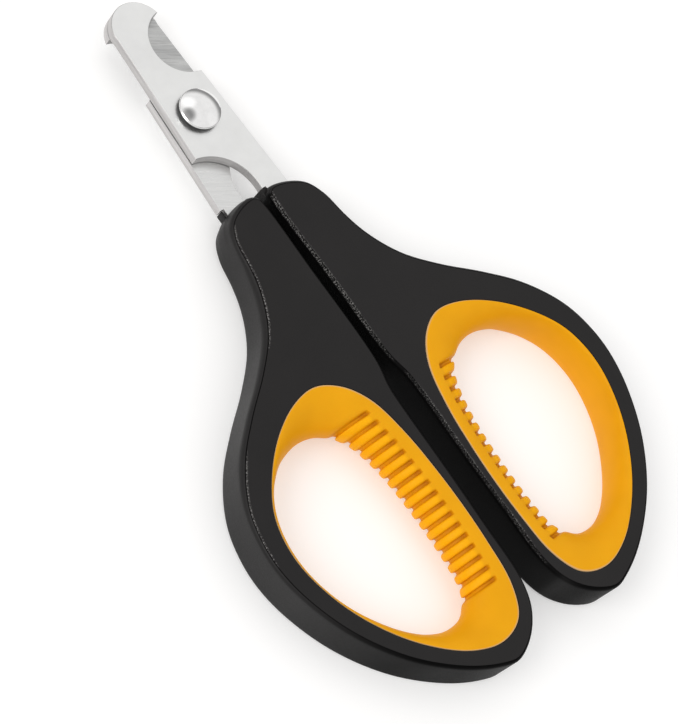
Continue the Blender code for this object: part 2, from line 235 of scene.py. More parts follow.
def half_thickness(y):
    """Half thickness of the handle with the bends of its taper eased over 8 mm."""
    def raw(y):
        if y >= NOSE_Y:
            return NOSE_HALF_T
        if y >= TAPER_Y:
            rise = HALF_T - RING_DROP - NOSE_HALF_T
            return NOSE_HALF_T + rise * (NOSE_Y - y) / (NOSE_Y - TAPER_Y)
        if y >= RING_Y:
            return HALF_T - RING_DROP * (y - RING_Y) / (TAPER_Y - RING_Y)
        return HALF_T
    return sum(raw(y + d) for d in range(-4, 5)) / 9


# ---------------------------------------------------------------- meshes

def bridge(bm, a, b):
    """Quads between two closed rows of vertices."""
    for i in range(len(a)):
        j = (i + 1) % len(a)
        bm.faces.new((a[i], b[i], b[j], a[j]))


def stack(boundaries, marks=None):
    """Closed body from stacks of rings, each a list of (loop, z) from top to bottom, z being one
    height or one per point. marks names vertex values of the first boundary, a list per ring."""
    bm = bmesh.new()
    marks = marks or {}
    caps = ([], [])
    for name in marks:
        bm.verts.layers.float.new(name)
    for number, rings in enumerate(boundaries):
        rows = []
        for loop, z in rings:
            heights = z if isinstance(z, list) else [z] * len(loop)
            rows.append([bm.verts.new((p.x, p.y, h)) for p, h in zip(loop, heights)])
        if number == 0:
            for name, values in marks.items():
                layer = bm.verts.layers.float[name]
                for row, row_values in zip(rows, values):
                    for v, value in zip(row, row_values):
                        v[layer] = value
        for a, b in zip(rows, rows[1:]):
            bridge(bm, a, b)
        for row, cap in zip((rows[0], rows[-1]), caps):
            for i in range(len(row)):
                cap.append(bm.edges.get((row[i], row[(i + 1) % len(row)])))
    for cap in caps:
        bmesh.ops.triangle_fill(bm, use_beauty=True, use_dissolve=False, edges=cap)
    bmesh.ops.recalc_face_normals(bm, faces=bm.faces[:])
    return bm


def to_mesh(bm, name, sharp=30.0):
    """Smooth-shaded mesh with edges marked sharp above an angle; 180 marks none."""
    mesh = bpy.data.meshes.new(name)
    bm.to_mesh(mesh)
    bm.free()
    mesh.shade_smooth()
    if sharp < 180:
        mesh.set_sharp_from_angle(angle=math.radians(sharp))
    return mesh


def add_object(name, data):
    obj = bpy.data.objects.new(name, data)
    bpy.context.scene.collection.objects.link(obj)
    return obj


def piece(name, mesh, body, node, materials, turned=False):
    """Moves a mesh from millimetres about the rivet into the frame and hands it over."""
    move = Matrix.Translation(RIVET) @ Matrix.Scale(MM, 4)
    if turned:
        move = move @ Matrix.Rotation(math.pi, 4, "Y")
    mesh.transform(move)
    mesh.update()
    obj = add_object(name, mesh)
    for material in materials:
        mesh.materials.append(material)
    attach(obj, body)
    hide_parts(node)


def combine(base, tools):
    """Applies exact booleans; tools are (mesh, kind)."""
    obj = add_object("base", base)
    helpers = []
    for k, (mesh, kind) in enumerate(tools):
        helper = add_object(f"tool{k}", mesh)
        helpers.append(helper)
        mod = obj.modifiers.new(f"cut{k}", "BOOLEAN")
        mod.operation, mod.object, mod.solver = kind, helper, "EXACT"
    bpy.context.view_layer.update()
    shaped = obj.evaluated_get(bpy.context.evaluated_depsgraph_get())
    out = bpy.data.meshes.new_from_object(shaped)
    for o in [obj] + helpers:
        bpy.data.objects.remove(o, do_unlink=True)
    return out


def rounded_box(name, low, high, radius):
    bm = bmesh.new()
    bmesh.ops.create_cube(bm, size=1.0)
    for v in bm.verts:
        v.co = Vector([low[k] + (high[k] - low[k]) * (v.co[k] + 0.5) for k in range(3)])
    bmesh.ops.bevel(bm, geom=bm.edges[:], offset=radius, segments=3, profile=0.5, affect="EDGES")
    return to_mesh(bm, name)


# ---------------------------------------------------------------- blades

# Material slots of a blade
OUTER_SLOT, MATING_SLOT, WALL_SLOT, BREAK_SLOT, NOTCH_SHADE_SLOT = range(5)


def tang_end(gap=0.0):
    """The narrowing of the tang and its round end, from -X to +X."""
    half = TANG_HALF + gap
    return [
        Vector((TANG_X - half, TANG_NARROW_Y)),
        *arc((TANG_X, TANG_END_Y), TANG_HALF_END + gap, start=180, end=360, count=17),
        Vector((TANG_X + half, TANG_NARROW_Y)),
    ]


def blade_outline(inner_y, outer_y):
    """Counter-clockwise; inner_y and outer_y are the heights of the two shoulders of the tang."""
    def edge(y):
        return Vector((EDGE_X + EDGE_SLOPE * y, y))

    def spine(y):
        return Vector((SPINE_X + SPINE_SLOPE * y, y))

    waist_end = math.degrees(math.asin((inner_y - WAIST_C[1]) / WAIST_R))
    return [
        Vector((TANG_X + TANG_HALF, outer_y)),
        edge(outer_y),
        edge(EDGE_TOP_Y),
        *arc(NOTCH_C, NOTCH_R, start=250, end=104, count=60),
        *arc(TIP_C, TIP_R, start=13, end=172, count=56),
        spine(SPINE_TOP_Y),
        spine(SPINE_END_Y),
        *arc(WAIST_C, WAIST_R, start=81, end=waist_end, count=44),
        Vector((TANG_X - TANG_HALF, inner_y)),
        *tang_end(),
    ]


def blade(shoulders):
    """Flat ground blade with broken edges, narrower round the mating face."""
    loop = blade_outline(*shoulders)
    wide_break, fine_break = BLADE_BREAK, BLADE_BREAK * 0.4
    boundaries = [[
        (grow(loop, -wide_break), FACE),
        (loop, FACE - wide_break),
        (loop, MATE + fine_break),
        (grow(loop, -fine_break), MATE),
    ]]
    holes = [((0, 0), BORE_R, 72)] + [(a, ANCHOR_R, ANCHOR_COUNT) for a in ANCHORS]
    for centre, radius, count in holes:
        wide, wall = circle(centre, radius + wide_break, count), circle(centre, radius, count)
        boundaries.append(
            [(wide, FACE), (wall, FACE - wide_break), (wall, MATE + wide_break), (wide, MATE)])
    bm = stack(boundaries)
    for f in bm.faces:
        if f.normal.z > 0.99:
            f.material_index = OUTER_SLOT
        elif f.normal.z < -0.99:
            f.material_index = MATING_SLOT
        elif abs(f.normal.z) > 0.3:
            f.material_index = BREAK_SLOT
        else:
            # The notch wall on the -X side of the notch's centre takes a darker copy of the wall
            # steel, as painted shade
            off = f.calc_center_median().xy - Vector(NOTCH_C)
            in_notch = abs(off.length - NOTCH_R) < 0.05 and off.x < -0.5
            f.material_index = NOTCH_SHADE_SLOT if in_notch else WALL_SLOT
    return to_mesh(bm, "blade", sharp=25.0)


# ---------------------------------------------------------------- handle

def handle_skin():
    """Rings of the handle's outside, top to bottom, as (loop, heights, highlight, shade).

    The highlight value is a painted highlight on creases and shoulders facing the key light; it is
    signed: the material shows only the positive part, and the left half flips the sign.
    The shade value is painted shade that darkens the crease and the walls that face -X or -Y."""
    wall = relax(list(reversed(catmull(HANDLE, 40))), 30)
    wall = thin(grow(wall, -WALL_INSET), turn=4.0, reach=1.1)
    points = list(zip(wall, normals(wall)))
    crease = math.cos(math.radians(CREASE))

    # Radius of the soft shoulder below the crease, wider on the outer flank
    radius = [0.95 + 0.55 * (smooth(-24, -32, p.y) * smooth(-66, -54, p.y) * smooth(0.2, 0.8, m.x))
              for p, m in points]
    nose = [smooth(-24.5, -18.5, p.y) * smooth(0.8, 2.4, p.x) for p, _ in points]
    # Painted highlight where the crease faces the key light, at -X turned a little to +Y; the mirror
    # side is negative
    key_glint = [smooth(0.87, 0.96, 0.36 * m.y - 0.93 * m.x)
              - smooth(0.87, 0.96, 0.36 * m.y + 0.93 * m.x) for _, m in points]
    # Painted highlight: sparse glints on the shoulders of walls that face -X, fainter towards the
    # ring
    shoulder_glint = [(0.46 + 0.20 * smooth(-52, -46, p.y)) * smooth(0.95, 0.99, -m.x) for p, m in points]
    plain = [0.0] * len(wall)
    # Painted shade on walls that face -X or -Y
    wall_shade = [max(0.78 * smooth(0.8, 0.95, -m.x), 0.85 * smooth(0.1, 0.75, -m.y)) for _, m in points]
    skin = []

    def crown(weight, z):
        """How far the nose bulges out at a height."""
        return NOSE_CROWN * weight * (1 - (z / HALF_T) ** 2) - NOSE_CROWN * weight * 0.12

    def ring(angle, inset=0.0, drop=0.0, wear=plain, line=wall_shade):
        """Ring of the shoulder at a slope angle; inset moves it over the flat face, drop sinks it."""
        slope = math.radians(angle)
        heights = [HALF_T - r * (crease - math.cos(slope)) - drop for r in radius]
        out = [-r * (1 - math.sin(slope)) + crown(w, z) - inset
               for r, w, z in zip(radius, nose, heights)]
        skin.append((grow(wall, out), heights, wear, line))

    # Painted highlight along the crease, then painted shade in the small groove below it
    ring(CREASE, inset=0.5, line=plain)
    ring(CREASE, inset=0.24, wear=[0.6 * f for f in key_glint], line=plain)
    ring(CREASE, wear=key_glint, line=plain)
    ring(CREASE + 2.5, drop=0.1, wear=shoulder_glint, line=[1.0] * len(wall))
    ring(CREASE + 7.0, drop=0.03, wear=shoulder_glint, line=[0.7] * len(wall))
    for angle in (CREASE + 12, 46, 57):
        ring(angle, wear=shoulder_glint)
    for angle in (68, 79, 90):
        ring(angle)
    for k in range(1, SIDE_STEPS + 1):
        heights = [(HALF_T - r * crease) * (1 - k / SIDE_STEPS) for r in radius]
        out = [crown(w, z) for w, z in zip(nose, heights)]
        skin.append((grow(wall, out), heights, plain, wall_shade))
    lower = [(loop, [-z for z in heights], wear, line)
             for loop, heights, wear, line in reversed(skin[:-1])]
    return skin + lower


def liner_hole():
    """Rings of the handle's hole for the liner, with the groove that takes its key."""
    border = [s for s, _ in seam_pairs(COARSE)]
    seam, groove = grow(border, SEAM_GAP / 2), grow(border, -KEY_DEEP)
    e = HOLE_BREAK
    rim = [
        (grow(seam, e + 0.25), HALF_T),
        (grow(seam, e), HALF_T),
        (grow(seam, e * 0.3), HALF_T - e * 0.3),
        (seam, HALF_T - e),
    ]
    key = [(seam, KEY_HALF), (groove, KEY_HALF), (groove, -KEY_HALF), (seam, -KEY_HALF)]
    return rim + key + [(loop, -z) for loop, z in reversed(rim)]


def handle_body():
    """Handle at full thickness, sliced across so that it can then be tapered to the nose."""
    loops, heights, wear, line = zip(*handle_skin())
    # The vertex values carry the painted highlight and the painted shade
    bm = stack([list(zip(loops, heights)), liner_hole()], {"wear": wear, "line": line})
    y = -15.5
    while y > -60:
        bmesh.ops.bisect_plane(bm, geom=bm.verts[:] + bm.edges[:] + bm.faces[:], dist=1e-5,
                               plane_co=(0, y, 0), plane_no=(0, 1, 0))
        y -= 1.7
    for v in bm.verts:
        above_key = abs(v.co.z) - KEY_HALF
        if abs(v.co.z) > KEY_HALF + 0.01:
            drop = (HALF_T - half_thickness(v.co.y)) * min(1.0, above_key / 1.2)
            v.co.z -= math.copysign(drop, v.co.z)
    bmesh.ops.triangulate(bm, faces=[f for f in bm.faces if len(f.verts) > 4])
    return to_mesh(bm, "handle_body", sharp=180)


def tang_pocket(gap):
    """Space of the tang, with posts left standing through its anchor holes."""
    half = TANG_HALF + gap
    first, *rest = tang_end(gap)
    mouth = [Vector((TANG_X + half, POCKET_TOP_Y)), Vector((TANG_X - half, POCKET_TOP_Y))]
    loops = [rest + mouth + [first]]
    loops += [circle(c, ANCHOR_R - gap, ANCHOR_COUNT) for c in ANCHORS]
    return to_mesh(stack([[(loop, FACE + gap), (loop, MATE - gap)] for loop in loops]), "pocket")


def handle(side):
    """Body with the collars that reach up to the blade's shoulders."""
    inner_y, outer_y = SHOULDERS[side]
    inner_x = 0.95 if side == "right" else 1.5
    lips = [rounded_box("lip_inner", low=(inner_x, -20.5, -1.5),
                        high=(2.42, inner_y - 0.03, FACE + 0.1), radius=0.22)]
    if side == "left":
        lips.append(rounded_box("lip_outer", low=(6.38, -20.8, MATE + 0.1),
                                high=(6.88, outer_y - 0.15, FACE + 0.02), radius=0.16))
    tools = [(lip, "UNION") for lip in lips] + [(tang_pocket(POCKET_GAP), "DIFFERENCE")]
    mesh = combine(handle_body(), tools)
    # The left half is turned over, so its painted highlight changes sign
    if side == "left":
        for item in mesh.attributes["wear"].data:
            item.value = -item.value
    mesh.shade_smooth()
    mesh.set_sharp_from_angle(angle=math.radians(38))
    return mesh


# ---------------------------------------------------------------- ring liner

def crossing(loop, y):
    """Point of the loop's -X side at height y."""
    hits = []
    for a, b in zip(loop, loop[1:] + loop[:1]):
        if (a.y - y) * (b.y - y) <= 0 and a.y != b.y:
            hits.append(a.x + (b.x - a.x) * (y - a.y) / (b.y - a.y))
    return Vector((min(hits), y))


def nearest(loop, point):
    return min(range(len(loop)), key=lambda k: (loop[k] - point).length)


def stretch(loop, start, end, count):
    """Evenly spaced points along the loop from start to end, ends left out."""
    n = len(loop)
    i, j = nearest(loop, start), nearest(loop, end)
    path = [start] + [loop[(i + k) % n] for k in range(1, (j - i) % n)] + [end]
    run = [0.0]
    for a, b in zip(path, path[1:]):
        run.append(run[-1] + (b - a).length)
    out = []
    for c in range(1, count + 1):
        s = run[-1] * c / (count + 1)
        k = next(m for m in range(1, len(run)) if run[m] >= s)
        part = (s - run[k - 1]) / max(1e-9, run[k] - run[k - 1])
        out.append(path[k - 1].lerp(path[k], part))
    return out


@cache
def seam_pairs(per_pitch):
    """Pairs of seam point and opening point round the ring, counter-clockwise, starting with the
    grooved side."""
    seam, opening = relax(catmull(SEAM, 30), 20), relax(catmull(OPENING, 30), 20)
    pad = per_pitch // 2
    out = []
    for k in range(-pad, (GROOVES - 1) * per_pitch + pad + 1):
        y = GROOVE_Y - k * GROOVE_PITCH / per_pitch
        out.append((crossing(seam, y), crossing(opening, y)))
    middle = [(seam[nearest(seam, Vector(s))], opening[nearest(opening, Vector(o))])
              for s, o in PAIR_ANCHORS]
    anchors = [out[-1], *middle, out[0]]
    for (s0, o0), (s1, o1), count in zip(anchors, anchors[1:], PAIR_COUNTS):
        out += zip(stretch(seam, s0, s1, count), stretch(opening, o0, o1, count))
        out.append((s1, o1))
    return out[:-1]


def groove_depth(y, plan):
    """Depth below the liner's front at height y, plan millimetres in from the seam: round ribs
    between channels that start with a round end."""
    k = (GROOVE_Y - y) / GROOVE_PITCH
    if k < -0.5 or k > GROOVES - 0.5:
        return 0.0
    across = (0.5 - abs(k - round(k))) * GROOVE_PITCH
    rib = max(0.0, 1 - (across / RIB_HALF) ** 3) ** (1 / 3) if across < RIB_HALF else 0.0
    run = (plan - GROOVE_START) / 0.5
    if run <= 0:
        return 0.0
    end = math.sqrt(max(0.0, 1 - (1 - min(1.0, run)) ** 2))
    return GROOVE_DEEP * end * (1 - rib)


def grip():
    """Liner swept round the ring: keyed flat back at the seam, half-elliptic front towards the
    opening, broken edges at the seam and grooves across."""
    ring = seam_pairs(FINE)
    ridged = GROOVES * FINE + 1
    seam = [s for s, _ in ring]
    back, key_back = grow(seam, -SEAM_GAP / 2), grow(seam, -(KEY_DEEP + SEAM_GAP))
    key_half = KEY_HALF + SEAM_GAP
    e = LINER_BREAK
    bm = bmesh.new()
    # Vertex values for painted light: groove gives painted shade in the grooves and a painted
    # highlight on the ribs, rim a painted highlight on the seam's broken edge
    rib_and_groove_light_layer = bm.verts.layers.float.new("groove")
    rim_highlight_layer = bm.verts.layers.float.new("rim")
    rows = []
    for station, ((_, front), b, key) in enumerate(zip(ring, back, key_back)):
        t = half_thickness(b.y)
        into = front - b
        depth = into.length
        into.normalize()
        row = []

        def put(plan, z, groove=0.0, rim=0.0):
            v = bm.verts.new((b.x + into.x * plan, b.y + into.y * plan, z))
            v[rib_and_groove_light_layer] = groove
            v[rim_highlight_layer] = rim
            row.append(v)

        put(0.0, t - e, rim=1.0)
        put(e * 0.3, t - e * 0.3, rim=1.0)
        for angle in (90 - 2.5 * k for k in range(1, 72)):
            c, s = math.cos(math.radians(angle)), math.sin(math.radians(angle))
            # Keeps the ellipse's steep ends in front of the broken edge
            plan = max(depth * c, e * 0.3 + 0.12 * (1 - abs(angle) / 90) + 0.02)
            z = t * s
            groove = groove_depth(b.y, plan) if station < ridged else 0.0
            if groove > 0:
                nx, nz = c / depth, s / t
                length = math.hypot(nx, nz)
                plan, z = plan - groove * nx / length, z - groove * nz / length
            # Painted light: shade in the grooves, fading away from the seam, and a highlight on the
            # ribs
            on_ribs = 8 < station < ridged - 9
            rib = smooth(GROOVE_START, GROOVE_START + 1.0, plan) if on_ribs else 0.0
            fade = 1 - 0.55 * smooth(GROOVE_START, GROOVE_START + 3.5, plan)
            put(plan, z, groove=groove / GROOVE_DEEP * fade - 0.3 * rib)
        put(e * 0.3, -(t - e * 0.3), rim=1.0)
        put(0.0, -(t - e), rim=1.0)
        for p, z in ((b, -key_half), (key, -key_half), (key, key_half), (b, key_half)):
            row.append(bm.verts.new((p.x, p.y, z)))
        rows.append(row)
    for a, b in zip(rows, rows[1:] + rows[:1]):
        for j in range(len(a)):
            m = (j + 1) % len(a)
            bm.faces.new((a[j], a[m], b[m], b[j]))
    bmesh.ops.recalc_face_normals(bm, faces=bm.faces[:])
    return to_mesh(bm, "grip", sharp=50.0)


# ---------------------------------------------------------------- rivet

def turned_piece(profile, name, count=96):
    """Profile of (radius, z) turned about Z; slot 0 polished, slot 1 the foot of the head, painted
    dark as shade under the rim.
    """
    bm = bmesh.new()
    rows = []
    for r, z in profile:
        points = circle((0, 0), r, count) if r else [Vector((0, 0))]
        rows.append([bm.verts.new((p.x, p.y, z)) for p in points])
    for a, b in zip(rows, rows[1:]):
        if len(a) == len(b):
            bridge(bm, a, b)
            continue
        for i in range(count):
            j = (i + 1) % count
            bm.faces.new((a[0], b[i], b[j]) if len(a) == 1 else (a[i], b[0], a[j]))
    bmesh.ops.recalc_face_normals(bm, faces=bm.faces[:])
    for f in bm.faces:
        centre = f.calc_center_median()
        in_foot = FACE < centre.z < HEAD_RIM - 0.5 and centre.xy.length > 3
        f.material_index = 1 if in_foot else 0
    return to_mesh(bm, name, sharp=35.0)


def dome():
    """Head profile from crown to foot: shallow ball, small shoulder, low straight rim and a foot
    that tucks in under it."""
    rise = HEAD_TOP - HEAD_RIM
    ball_edge = HEAD_R - HEAD_SHOULDER * 0.55
    ball = (ball_edge ** 2 + rise ** 2) / (2 * rise)
    out = [(0, HEAD_TOP)]
    for k in range(1, 25):
        r = ball_edge * k / 24
        out.append((r, HEAD_TOP - (ball - math.sqrt(ball ** 2 - r ** 2))))
    return out + [
        (HEAD_R - 0.05, HEAD_RIM - 0.06), (HEAD_R, HEAD_RIM - 0.16),
        (HEAD_R, HEAD_RIM - 0.5), (HEAD_R - 0.06, HEAD_RIM - 0.6),
        (HEAD_R - 0.42, FACE + 0.2), (HEAD_R - 0.55, FACE + 0.03),
    ]


def rivet_front():
    """Head with a solid pin."""
    pin = [(PIN_R, FACE + 0.03), (PIN_R, PIN_END + 0.3), (PIN_R - 0.3, PIN_END), (0, PIN_END)]
    return turned_piece(dome() + pin, "rivet_front")


def rivet_back():
    """Head with a hollow sleeve round the pin; it is turned over when placed."""
    sleeve = [(SLEEVE_R, FACE + 0.03), (SLEEVE_R, -FACE + 0.02), (SLEEVE_R - 0.1, -FACE),
              (SLEEVE_IN, -FACE), (SLEEVE_IN, -SOCKET_END), (0, -SOCKET_END)]
    return turned_piece(dome() + sleeve, "rivet_back")


# ---------------------------------------------------------------- materials

MIDDLE = (0.3, 0.7)         # the range most noise values fall in


class Nodes:
    """Writes the node tree of a material or world. Inputs take sockets, numbers or tuples."""

    def __init__(self, owner):
        self.owner = owner
        owner.use_nodes = True
        self.tree = owner.node_tree

    def feed(self, socket, value):
        if isinstance(value, bpy.types.NodeSocket):
            self.tree.links.new(value, socket)
        elif isinstance(value, tuple) and len(socket.default_value) == 4:
            socket.default_value = (*value, 1)
        else:
            socket.default_value = value

    def add(self, kind, inputs=None, **settings):
        node = self.tree.nodes.new(kind)
        for key, value in settings.items():
            setattr(node, key, value)
        for key, value in (inputs or {}).items():
            self.feed(node.inputs[key], value)
        return node

    def coords(self, scale=(1, 1, 1), turn=0.0):
        """Object coordinates, turned about Z first and stretched afterwards."""
        vector = self.add("ShaderNodeTexCoord").outputs["Object"]
        for name, value in (("Rotation", (0, 0, turn)), ("Scale", scale)):
            mapping = self.add("ShaderNodeMapping", {name: value, "Vector": vector})
            vector = mapping.outputs["Vector"]
        return vector

    def noise(self, vector, scale=1.0, detail=3, rough=0.6):
        inputs = {"Scale": scale, "Detail": detail, "Roughness": rough, "Vector": vector}
        return self.add("ShaderNodeTexNoise", inputs).outputs["Fac"]

    def attribute(self, name):
        return self.add("ShaderNodeAttribute", attribute_name=name).outputs["Fac"]

    def ramp(self, value, span=MIDDLE, to=(0.0, 1.0), kind="LINEAR"):
        inputs = {"From Min": span[0], "From Max": span[1], "To Min": to[0], "To Max": to[1],
                  "Value": value}
        return self.add("ShaderNodeMapRange", inputs, interpolation_type=kind).outputs["Result"]

    def math(self, operation, a, b=0.0):
        return self.add("ShaderNodeMath", {0: a, 1: b}, operation=operation).outputs[0]

    def mix(self, factor, base, over):
        inputs = {0: factor, 6: base, 7: over}
        return self.add("ShaderNodeMix", inputs, data_type="RGBA").outputs[2]

    def bump(self, height, strength, distance, **after):
        """Bump normal; Normal takes the bump it lies on."""
        inputs = {"Strength": strength, "Distance": distance, "Height": height, **after}
        return self.add("ShaderNodeBump", inputs).outputs["Normal"]

    def set(self, **values):
        """Sets the main shader's inputs, with _ for spaces, and returns the material."""
        for key, value in values.items():
            self.feed(self.tree.nodes["Principled BSDF"].inputs[key.replace("_", " ")], value)
        return self.owner


def new_material(name):
    return Nodes(bpy.data.materials.new(name))


def steel_outer():
    n = new_material("blade_outer")
    plain = n.coords()
    fine = n.noise(plain, scale=9000, detail=2)
    broad = n.noise(plain, scale=260, rough=0.55)
    drawn = n.noise(n.coords(scale=(160, 2400, 1), turn=math.radians(62)))
    colour = n.mix(n.ramp(broad), base=(0.80, 0.805, 0.80), over=(0.85, 0.855, 0.85))
    streaks = n.ramp(drawn, span=(0.58, 0.8), to=(0.0, 0.35))
    colour = n.mix(streaks, colour, over=(0.78, 0.785, 0.785))
    rough = n.math("ADD", n.ramp(fine, to=(-0.03, 0.03)), n.ramp(broad, to=(0.3, 0.36)))
    return n.set(Base_Color=colour, Metallic=1.0, Roughness=rough,
                 Normal=n.bump(fine, strength=0.06, distance=0.00003))


def steel_mating():
    """Brushed mating face, lighter towards the tang as painted light and darker in a painted shade
    band along the notch's edge.
    """
    n = new_material("blade_mating")
    brush = math.radians(28)
    lines = n.noise(n.coords(scale=(180, 4000, 1), turn=brush), detail=2)
    bands = n.noise(n.coords(scale=(60, 1100, 1), turn=brush))
    colour = n.mix(n.ramp(bands, span=(0.35, 0.65)),
                   base=(0.45, 0.455, 0.455), over=(0.58, 0.585, 0.58))
    colour = n.mix(n.ramp(lines, span=(0.47, 0.63), to=(0.0, 0.7)), colour, over=(0.36,) * 3)
    place = n.add("ShaderNodeSeparateXYZ", {0: n.coords()}).outputs
    # Painted light: lighter below the rivet, towards the tang
    lower = n.ramp(place["Y"], span=(RIVET.y - 0.002, RIVET.y + 0.004), to=(1.0, 0.0))
    colour = n.mix(n.math("MULTIPLY", lower, 0.68), colour, over=(0.85, 0.855, 0.85))

    # Painted shade band just inside the notch's edge, from the distance to the notch's centre; |x|
    # serves both blades
    across = n.math("ABSOLUTE", place["X"])
    dx = n.math("SUBTRACT", across, NOTCH_C[0] * MM)
    dy = n.math("SUBTRACT", place["Y"], RIVET.y + NOTCH_C[1] * MM)
    squares = n.math("ADD", n.math("MULTIPLY", dx, dx), n.math("MULTIPLY", dy, dy))
    away = n.math("SQRT", squares)
    band_start = n.ramp(away, span=((NOTCH_R - 0.55) * MM, (NOTCH_R - 0.15) * MM))
    near_middle = n.ramp(across, span=(0.002, 0.0042), to=(1.0, 0.0))
    notch_edge_shade = n.math("MULTIPLY", band_start, near_middle)
    band_end = n.ramp(away, span=(NOTCH_R * MM, (NOTCH_R + 0.2) * MM), to=(0.85, 0.0))
    colour = n.mix(n.math("MULTIPLY", notch_edge_shade, band_end), colour, over=(0.06,) * 3)
    return n.set(Base_Color=colour, Metallic=1.0, Roughness=n.ramp(lines, to=(0.24, 0.42)),
                 Normal=n.bump(lines, strength=0.25, distance=0.00003))


def steel_wall(name, shade_tint):
    """Wall with lines along the blade's faces; its colour is scaled as painted light and shade,
    giving lighter and darker copies of one wall steel.
    """
    n = new_material(name)
    lines = n.noise(n.coords(scale=(60, 60, 5200)))
    bands = n.noise(n.coords(scale=(70, 70, 1300)), detail=2, rough=0.5)
    colour = n.mix(n.ramp(bands, span=(0.35, 0.65)),
                   base=(0.50 * shade_tint, 0.488 * shade_tint, 0.485 * shade_tint),
                   over=(0.62 * shade_tint, 0.606 * shade_tint, 0.603 * shade_tint))
    return n.set(Base_Color=colour, Metallic=1.0, Roughness=n.ramp(lines, to=(0.38, 0.52)),
                 Normal=n.bump(lines, strength=0.2, distance=0.00003))


# Hazy steel, for the duller broken edges of the blades and for the rivet foot's painted shade
def dull_steel_and_shade(name, scale, dark, light, rough):
    n = new_material(name)
    haze = n.noise(n.coords(), scale=scale)
    return n.set(Base_Color=n.mix(n.ramp(haze), dark, light), Metallic=1.0,
                 Roughness=n.ramp(haze, to=rough),
                 Normal=n.bump(haze, strength=0.1, distance=0.00004))


def rivet_steel():
    n = new_material("rivet_polish")
    haze = n.noise(n.coords(), scale=700)
    fine = n.noise(n.coords(), scale=5000, detail=2)
    colour = n.mix(n.ramp(haze), base=(0.84,) * 3, over=(0.90,) * 3)
    return n.set(Base_Color=colour, Metallic=1.0, Roughness=n.ramp(haze, to=(0.05, 0.1)),
                 Normal=n.bump(fine, strength=0.02, distance=0.00002))


def black_plastic():
    """Grained black, with a sparkling painted highlight, and painted shade that darkens the crease
    line and the walls facing -X or -Y and leaves them nearly without shine.
    """
    n = new_material("handle_plastic")
    plain = n.coords()
    grain = n.noise(plain, scale=4200, detail=2)
    grit = n.noise(plain, scale=9500, detail=1, rough=0.5)
    cloud = n.noise(plain, scale=110, detail=2, rough=0.5)
    colour = n.mix(n.ramp(cloud), base=(0.0088, 0.0080, 0.0081), over=(0.0114, 0.0104, 0.0105))
    # Painted highlight: sparse light grains where the highlight value is high
    wear = n.attribute("wear")
    sparkle = n.ramp(n.noise(plain, scale=4200, detail=2, rough=0.7), span=(0.49, 0.66))
    glint = n.math("MULTIPLY", n.ramp(wear, span=(0.35, 0.95)), sparkle)
    # Painted shade: the line value darkens the crease and the shaded walls to near black and takes
    # their shine away
    line = n.attribute("line")
    colour = n.mix(n.ramp(line, span=(0.1, 0.9)), colour, over=(0.001,) * 3)
    colour = n.mix(glint, colour, over=(0.36, 0.35, 0.34))
    gloss = n.ramp(line, span=(0.1, 0.9), to=(0.27, 0.03))
    rough = n.math("ADD", n.ramp(grain, to=(-0.06, 0.06)), n.ramp(cloud, to=(0.44, 0.50)))
    normal = n.bump(grain, strength=0.35, distance=0.00005)
    normal = n.bump(grit, strength=0.25, distance=0.00003, Normal=normal)
    return n.set(Base_Color=colour, Roughness=rough, Normal=normal, IOR=1.46,
                 Specular_IOR_Level=gloss)


def yellow_rubber():
    """Yellow, with painted light: brighter on the ribs as painted highlight, orange in the grooves as
    painted shade and paler on the rim at the seam as painted highlight.
    """
    n = new_material("grip_rubber")
    plain = n.coords()
    grain = n.noise(plain, scale=5200, detail=2)
    cloud = n.noise(plain, scale=140, detail=2, rough=0.5)
    colour = n.mix(n.ramp(cloud), base=(0.785, 0.350, 0.002), over=(0.84, 0.380, 0.003))
    # Painted highlight on the ribs and painted shade in the grooves, from the groove value
    groove = n.attribute("groove")
    colour = n.mix(n.ramp(groove, span=(-0.05, -0.3)), colour, over=(0.95, 0.44, 0.001))
    groove_shade = n.ramp(groove, span=(0.0, 0.7), to=(0.0, 0.75))
    colour = n.mix(groove_shade, colour, over=(0.50, 0.16, 0.001))
    # Painted highlight: paler on the rim at the seam
    rim = n.attribute("rim")
    colour = n.mix(n.math("MULTIPLY", rim, 0.75), colour, over=(0.56, 0.42, 0.28))
    return n.set(Base_Color=colour, Roughness=n.ramp(grain, to=(0.44, 0.54)),
                 Normal=n.bump(grain, strength=0.15, distance=0.00004), IOR=1.45,
                 Specular_IOR_Level=0.14, Subsurface_Weight=0.05,
                 Subsurface_Radius=(1.0, 0.45, 0.05), Subsurface_Scale=0.0005)


# ---------------------------------------------------------------- the object

def add_blades():
    outer = steel_outer()
    edge = dull_steel_and_shade("blade_edge", scale=1500, dark=(0.44, 0.435, 0.43),
                      light=(0.54, 0.535, 0.53), rough=(0.44, 0.56))
    mating = steel_mating()
    # The notch wall is a much darker copy of the wall steel, as painted shade
    notch = steel_wall("blade_notch_painted_shade", shade_tint=0.55)
    # The two blades' walls get lighter and darker copies of one steel, as painted light
    for place, side, shade_tint in (("front", "right", 0.97), ("rear", "left", 1.08)):
        materials = [outer, mating, steel_wall(f"blade_wall_{place}", shade_tint), edge, notch]
        piece(f"{place}_blade_plate", blade(SHOULDERS[side]), f"{side}_half", f"{place}_blade",
              materials, turned=side == "left")


def add_handles():
    black = black_plastic()
    for side in ("right", "left"):
        piece(f"{side}_handle_shell", handle(side), f"{side}_half", f"{side}_handle",
              [black], turned=side == "left")


def add_liners():
    yellow = yellow_rubber()
    right = grip()
    for side, mesh in (("right", right), ("left", right.copy())):
        piece(f"{side}_ring_liner", mesh, f"{side}_half", f"{side}_grip",
              [yellow], turned=side == "left")


